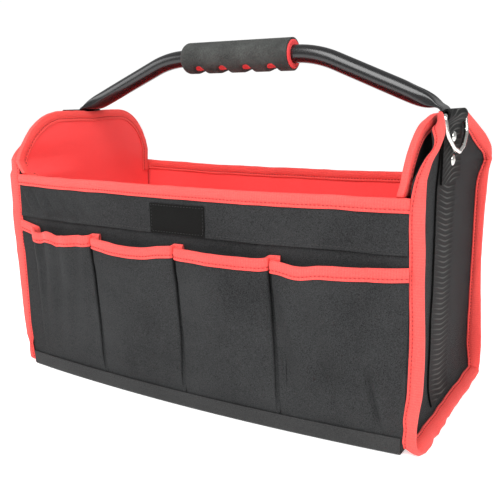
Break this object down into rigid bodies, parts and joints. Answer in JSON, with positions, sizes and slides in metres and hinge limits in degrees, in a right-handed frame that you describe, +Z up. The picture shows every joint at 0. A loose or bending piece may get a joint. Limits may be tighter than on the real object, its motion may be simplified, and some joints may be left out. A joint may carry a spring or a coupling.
{
  "type": "open-top tool bag",
  "caption": "Open-top black cloth tool bag with red bindings, pleated outside pockets, standing ends, a bent tube handle with a foam grip, and a hinged ring at each end.",
  "frame": {"origin": "centre of the base, on the surface the bag stands on", "axes": "+X along the handle towards the right end, +Y towards the back, -Y is the front with the label patch, +Z up"},
  "size_m": [0.4262, 0.2358, 0.3221],
  "materials": {
    "black_cloth": "woven polyester, matt black",
    "base_cloth": "coated cloth, dark grey",
    "board": "stiffening board, hidden",
    "red_lining": "smooth red lining",
    "red_tape": "woven red binding tape",
    "label_cloth": "bare sewn patch",
    "webbing": "herringbone webbing, black",
    "black_tube": "gloss black enamel",
    "grey_foam": "fine foam, matt grey",
    "red_rubber": "soft red rubber",
    "nickel": "bright nickel plate"
  },
  "bodies": {
    "bag": {"back_facing": "black_cloth", "back_lining": "red_lining", "back_panel": "black_cloth", "back_pocket_1": "black_cloth", "back_pocket_2": "black_cloth", "back_pocket_3": "black_cloth", "back_pocket_4": "black_cloth", "back_pocket_binding": "red_tape", "back_stiffener": "board", "back_top_binding": "red_tape", "base_board": "board", "base_cover": "base_cloth", "base_lining": "red_lining", "front_facing": "black_cloth", "front_lining": "red_lining", "front_panel": "black_cloth", "front_pocket_1": "black_cloth", "front_pocket_2": "black_cloth", "front_pocket_3": "black_cloth", "front_pocket_4": "black_cloth", "front_pocket_binding": "red_tape", "front_stiffener": "board", "front_top_binding": "red_tape", "grip_foam": "grey_foam", "grip_liner": "red_rubber", "handle_tube": "black_tube", "label_patch": "label_cloth", "left_end_strap": "webbing", "left_inner_end_binding": "red_tape", "left_inner_end_board": "board", "left_inner_end_lining": "red_lining", "left_inner_end_panel": "black_cloth", "left_lower_rivet": "nickel", "left_outer_end_binding": "red_tape", "left_outer_end_panel": "black_cloth", "left_upper_rivet": "nickel", "right_end_strap": "webbing", "right_inner_end_binding": "red_tape", "right_inner_end_board": "board", "right_inner_end_lining": "red_lining", "right_inner_end_panel": "black_cloth", "right_lower_rivet": "nickel", "right_outer_end_binding": "red_tape", "right_outer_end_panel": "black_cloth", "right_upper_rivet": "nickel"},
    "left_ring_body": {"left_ring": "nickel"},
    "right_ring_body": {"right_ring": "nickel"}
  },
  "joints": [
    {"name": "left_ring_hinge", "type": "hinge", "parent": "bag", "child": "left_ring_body", "pos_m": [-0.203, 0, 0.2545], "axis": [0, 1, 0], "range_deg": [0, 150]},
    {"name": "right_ring_hinge", "type": "hinge", "parent": "bag", "child": "right_ring_body", "pos_m": [0.203, 0, 0.2545], "axis": [0, -1, 0], "range_deg": [0, 150]}
  ]
}
